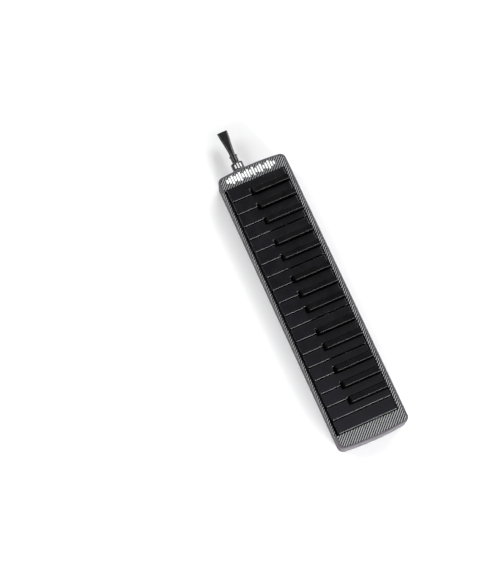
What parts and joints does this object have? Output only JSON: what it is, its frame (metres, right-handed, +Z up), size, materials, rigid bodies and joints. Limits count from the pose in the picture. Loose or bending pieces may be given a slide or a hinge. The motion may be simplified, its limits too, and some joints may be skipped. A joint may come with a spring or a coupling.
{
  "type": "melodica",
  "caption": "Flat keyboard instrument blown through a short mouthpiece, with sprung black keys over an air chest of free reeds.",
  "frame": {"origin": "middle of the bounding box, on the plane that the rubber feet stand on", "axes": "+X along the keyboard towards the high notes, -Y towards the player, +Z up out of the keys"},
  "size_m": [0.504, 0.107, 0.049],
  "materials": {
    "dark_shell": "satin dark grey",
    "felt": "pressed wool felt, black",
    "gasket_rubber": "soft grey rubber",
    "grey_plastic": "matt grey",
    "inner_plastic": "matt black",
    "mouthpiece_black": "polished black",
    "natural_key": "satin black",
    "patterned_shell": "dark grey and silver woven pattern under a satin lacquer",
    "reed_brass": "rolled brass",
    "rod_steel": "drawn steel",
    "screw_steel": "zinc-plated steel",
    "sharp_key": "satin black",
    "soft_rubber": "matt black rubber",
    "strap_fabric": "woven polyester"
  },
  "bodies": {
    "body": {"air_duct": "inner_plastic", "bottom_case": "dark_shell", "case_screws": "screw_steel", "chest_gasket": "gasket_rubber", "chest_lid": "inner_plastic", "chest_screws": "screw_steel", "drain_housing": "inner_plastic", "drain_spring": "rod_steel", "hand_strap": "strap_fabric", "key_felt": "felt", "key_rail": "grey_plastic", "key_rod": "rod_steel", "key_springs": "rod_steel", "mouthpiece_socket": "soft_rubber", "reed_plate_screws": "screw_steel", "reed_plates": "reed_brass", "reed_rivets": "reed_brass", "reed_tongues": "reed_brass", "rubber_feet": "soft_rubber", "strap_clamps": "inner_plastic", "strap_screws": "screw_steel", "top_cover": "patterned_shell", "wind_chest": "inner_plastic"},
    "mouthpiece_body": {"mouthpiece": "mouthpiece_black", "mouthpiece_ring": "soft_rubber"},
    "drain_body": {"drain_button": "mouthpiece_black", "drain_seal": "soft_rubber"},
    "key_a3_body": {"key_a3": "natural_key"},
    "key_a4_body": {"key_a4": "natural_key"},
    "key_a5_body": {"key_a5": "natural_key"},
    "key_a_sharp_3_body": {"key_a_sharp_3": "sharp_key"},
    "key_a_sharp_4_body": {"key_a_sharp_4": "sharp_key"},
    "key_a_sharp_5_body": {"key_a_sharp_5": "sharp_key"},
    "key_b3_body": {"key_b3": "natural_key"},
    "key_b4_body": {"key_b4": "natural_key"},
    "key_b5_body": {"key_b5": "natural_key"},
    "key_c4_body": {"key_c4": "natural_key"},
    "key_c5_body": {"key_c5": "natural_key"},
    "key_c6_body": {"key_c6": "natural_key"},
    "key_c_sharp_4_body": {"key_c_sharp_4": "sharp_key"},
    "key_c_sharp_5_body": {"key_c_sharp_5": "sharp_key"},
    "key_d4_body": {"key_d4": "natural_key"},
    "key_d5_body": {"key_d5": "natural_key"},
    "key_d_sharp_4_body": {"key_d_sharp_4": "sharp_key"},
    "key_d_sharp_5_body": {"key_d_sharp_5": "sharp_key"},
    "key_e4_body": {"key_e4": "natural_key"},
    "key_e5_body": {"key_e5": "natural_key"},
    "key_f3_body": {"key_f3": "natural_key"},
    "key_f4_body": {"key_f4": "natural_key"},
    "key_f5_body": {"key_f5": "natural_key"},
    "key_f_sharp_3_body": {"key_f_sharp_3": "sharp_key"},
    "key_f_sharp_4_body": {"key_f_sharp_4": "sharp_key"},
    "key_f_sharp_5_body": {"key_f_sharp_5": "sharp_key"},
    "key_g3_body": {"key_g3": "natural_key"},
    "key_g4_body": {"key_g4": "natural_key"},
    "key_g5_body": {"key_g5": "natural_key"},
    "key_g_sharp_3_body": {"key_g_sharp_3": "sharp_key"},
    "key_g_sharp_4_body": {"key_g_sharp_4": "sharp_key"},
    "key_g_sharp_5_body": {"key_g_sharp_5": "sharp_key"}
  },
  "joints": [
    {"name": "mouthpiece_pull", "type": "slide", "parent": "body", "child": "mouthpiece_body", "axis": [-1, 0, 0], "range_m": [0, 0.02]},
    {"name": "drain_press", "type": "slide", "parent": "body", "child": "drain_body", "axis": [-1, 0, 0], "range_m": [0, 0.0018], "stiffness_N_per_m": 600, "springref_m": -0.002, "deforming": ["drain_spring"]},
    {"name": "press_a3", "type": "hinge", "parent": "body", "child": "key_a3_body", "pos_m": [0, 0.012, 0.033], "axis": [1, 0, 0], "range_deg": [0, 4.8], "stiffness_Nm_per_rad": 0.05, "springref_deg": -28.65},
    {"name": "press_a4", "type": "hinge", "parent": "body", "child": "key_a4_body", "pos_m": [0, 0.012, 0.033], "axis": [1, 0, 0], "range_deg": [0, 4.8], "stiffness_Nm_per_rad": 0.05, "springref_deg": -28.65},
    {"name": "press_a5", "type": "hinge", "parent": "body", "child": "key_a5_body", "pos_m": [0, 0.012, 0.033], "axis": [1, 0, 0], "range_deg": [0, 4.8], "stiffness_Nm_per_rad": 0.05, "springref_deg": -28.65},
    {"name": "press_a_sharp_3", "type": "hinge", "parent": "body", "child": "key_a_sharp_3_body", "pos_m": [0, 0.012, 0.033], "axis": [1, 0, 0], "range_deg": [0, 4.8], "stiffness_Nm_per_rad": 0.05, "springref_deg": -28.65},
    {"name": "press_a_sharp_4", "type": "hinge", "parent": "body", "child": "key_a_sharp_4_body", "pos_m": [0, 0.012, 0.033], "axis": [1, 0, 0], "range_deg": [0, 4.8], "stiffness_Nm_per_rad": 0.05, "springref_deg": -28.65},
    {"name": "press_a_sharp_5", "type": "hinge", "parent": "body", "child": "key_a_sharp_5_body", "pos_m": [0, 0.012, 0.033], "axis": [1, 0, 0], "range_deg": [0, 4.8], "stiffness_Nm_per_rad": 0.05, "springref_deg": -28.65},
    {"name": "press_b3", "type": "hinge", "parent": "body", "child": "key_b3_body", "pos_m": [0, 0.012, 0.033], "axis": [1, 0, 0], "range_deg": [0, 4.8], "stiffness_Nm_per_rad": 0.05, "springref_deg": -28.65},
    {"name": "press_b4", "type": "hinge", "parent": "body", "child": "key_b4_body", "pos_m": [0, 0.012, 0.033], "axis": [1, 0, 0], "range_deg": [0, 4.8], "stiffness_Nm_per_rad": 0.05, "springref_deg": -28.65},
    {"name": "press_b5", "type": "hinge", "parent": "body", "child": "key_b5_body", "pos_m": [0, 0.012, 0.033], "axis": [1, 0, 0], "range_deg": [0, 4.8], "stiffness_Nm_per_rad": 0.05, "springref_deg": -28.65},
    {"name": "press_c4", "type": "hinge", "parent": "body", "child": "key_c4_body", "pos_m": [0, 0.012, 0.033], "axis": [1, 0, 0], "range_deg": [0, 4.8], "stiffness_Nm_per_rad": 0.05, "springref_deg": -28.65},
    {"name": "press_c5", "type": "hinge", "parent": "body", "child": "key_c5_body", "pos_m": [0, 0.012, 0.033], "axis": [1, 0, 0], "range_deg": [0, 4.8], "stiffness_Nm_per_rad": 0.05, "springref_deg": -28.65},
    {"name": "press_c6", "type": "hinge", "parent": "body", "child": "key_c6_body", "pos_m": [0, 0.012, 0.033], "axis": [1, 0, 0], "range_deg": [0, 4.8], "stiffness_Nm_per_rad": 0.05, "springref_deg": -28.65},
    {"name": "press_c_sharp_4", "type": "hinge", "parent": "body", "child": "key_c_sharp_4_body", "pos_m": [0, 0.012, 0.033], "axis": [1, 0, 0], "range_deg": [0, 4.8], "stiffness_Nm_per_rad": 0.05, "springref_deg": -28.65},
    {"name": "press_c_sharp_5", "type": "hinge", "parent": "body", "child": "key_c_sharp_5_body", "pos_m": [0, 0.012, 0.033], "axis": [1, 0, 0], "range_deg": [0, 4.8], "stiffness_Nm_per_rad": 0.05, "springref_deg": -28.65},
    {"name": "press_d4", "type": "hinge", "parent": "body", "child": "key_d4_body", "pos_m": [0, 0.012, 0.033], "axis": [1, 0, 0], "range_deg": [0, 4.8], "stiffness_Nm_per_rad": 0.05, "springref_deg": -28.65},
    {"name": "press_d5", "type": "hinge", "parent": "body", "child": "key_d5_body", "pos_m": [0, 0.012, 0.033], "axis": [1, 0, 0], "range_deg": [0, 4.8], "stiffness_Nm_per_rad": 0.05, "springref_deg": -28.65},
    {"name": "press_d_sharp_4", "type": "hinge", "parent": "body", "child": "key_d_sharp_4_body", "pos_m": [0, 0.012, 0.033], "axis": [1, 0, 0], "range_deg": [0, 4.8], "stiffness_Nm_per_rad": 0.05, "springref_deg": -28.65},
    {"name": "press_d_sharp_5", "type": "hinge", "parent": "body", "child": "key_d_sharp_5_body", "pos_m": [0, 0.012, 0.033], "axis": [1, 0, 0], "range_deg": [0, 4.8], "stiffness_Nm_per_rad": 0.05, "springref_deg": -28.65},
    {"name": "press_e4", "type": "hinge", "parent": "body", "child": "key_e4_body", "pos_m": [0, 0.012, 0.033], "axis": [1, 0, 0], "range_deg": [0, 4.8], "stiffness_Nm_per_rad": 0.05, "springref_deg": -28.65},
    {"name": "press_e5", "type": "hinge", "parent": "body", "child": "key_e5_body", "pos_m": [0, 0.012, 0.033], "axis": [1, 0, 0], "range_deg": [0, 4.8], "stiffness_Nm_per_rad": 0.05, "springref_deg": -28.65},
    {"name": "press_f3", "type": "hinge", "parent": "body", "child": "key_f3_body", "pos_m": [0, 0.012, 0.033], "axis": [1, 0, 0], "range_deg": [0, 4.8], "stiffness_Nm_per_rad": 0.05, "springref_deg": -28.65},
    {"name": "press_f4", "type": "hinge", "parent": "body", "child": "key_f4_body", "pos_m": [0, 0.012, 0.033], "axis": [1, 0, 0], "range_deg": [0, 4.8], "stiffness_Nm_per_rad": 0.05, "springref_deg": -28.65},
    {"name": "press_f5", "type": "hinge", "parent": "body", "child": "key_f5_body", "pos_m": [0, 0.012, 0.033], "axis": [1, 0, 0], "range_deg": [0, 4.8], "stiffness_Nm_per_rad": 0.05, "springref_deg": -28.65},
    {"name": "press_f_sharp_3", "type": "hinge", "parent": "body", "child": "key_f_sharp_3_body", "pos_m": [0, 0.012, 0.033], "axis": [1, 0, 0], "range_deg": [0, 4.8], "stiffness_Nm_per_rad": 0.05, "springref_deg": -28.65},
    {"name": "press_f_sharp_4", "type": "hinge", "parent": "body", "child": "key_f_sharp_4_body", "pos_m": [0, 0.012, 0.033], "axis": [1, 0, 0], "range_deg": [0, 4.8], "stiffness_Nm_per_rad": 0.05, "springref_deg": -28.65},
    {"name": "press_f_sharp_5", "type": "hinge", "parent": "body", "child": "key_f_sharp_5_body", "pos_m": [0, 0.012, 0.033], "axis": [1, 0, 0], "range_deg": [0, 4.8], "stiffness_Nm_per_rad": 0.05, "springref_deg": -28.65},
    {"name": "press_g3", "type": "hinge", "parent": "body", "child": "key_g3_body", "pos_m": [0, 0.012, 0.033], "axis": [1, 0, 0], "range_deg": [0, 4.8], "stiffness_Nm_per_rad": 0.05, "springref_deg": -28.65},
    {"name": "press_g4", "type": "hinge", "parent": "body", "child": "key_g4_body", "pos_m": [0, 0.012, 0.033], "axis": [1, 0, 0], "range_deg": [0, 4.8], "stiffness_Nm_per_rad": 0.05, "springref_deg": -28.65},
    {"name": "press_g5", "type": "hinge", "parent": "body", "child": "key_g5_body", "pos_m": [0, 0.012, 0.033], "axis": [1, 0, 0], "range_deg": [0, 4.8], "stiffness_Nm_per_rad": 0.05, "springref_deg": -28.65},
    {"name": "press_g_sharp_3", "type": "hinge", "parent": "body", "child": "key_g_sharp_3_body", "pos_m": [0, 0.012, 0.033], "axis": [1, 0, 0], "range_deg": [0, 4.8], "stiffness_Nm_per_rad": 0.05, "springref_deg": -28.65},
    {"name": "press_g_sharp_4", "type": "hinge", "parent": "body", "child": "key_g_sharp_4_body", "pos_m": [0, 0.012, 0.033], "axis": [1, 0, 0], "range_deg": [0, 4.8], "stiffness_Nm_per_rad": 0.05, "springref_deg": -28.65},
    {"name": "press_g_sharp_5", "type": "hinge", "parent": "body", "child": "key_g_sharp_5_body", "pos_m": [0, 0.012, 0.033], "axis": [1, 0, 0], "range_deg": [0, 4.8], "stiffness_Nm_per_rad": 0.05, "springref_deg": -28.65}
  ]
}
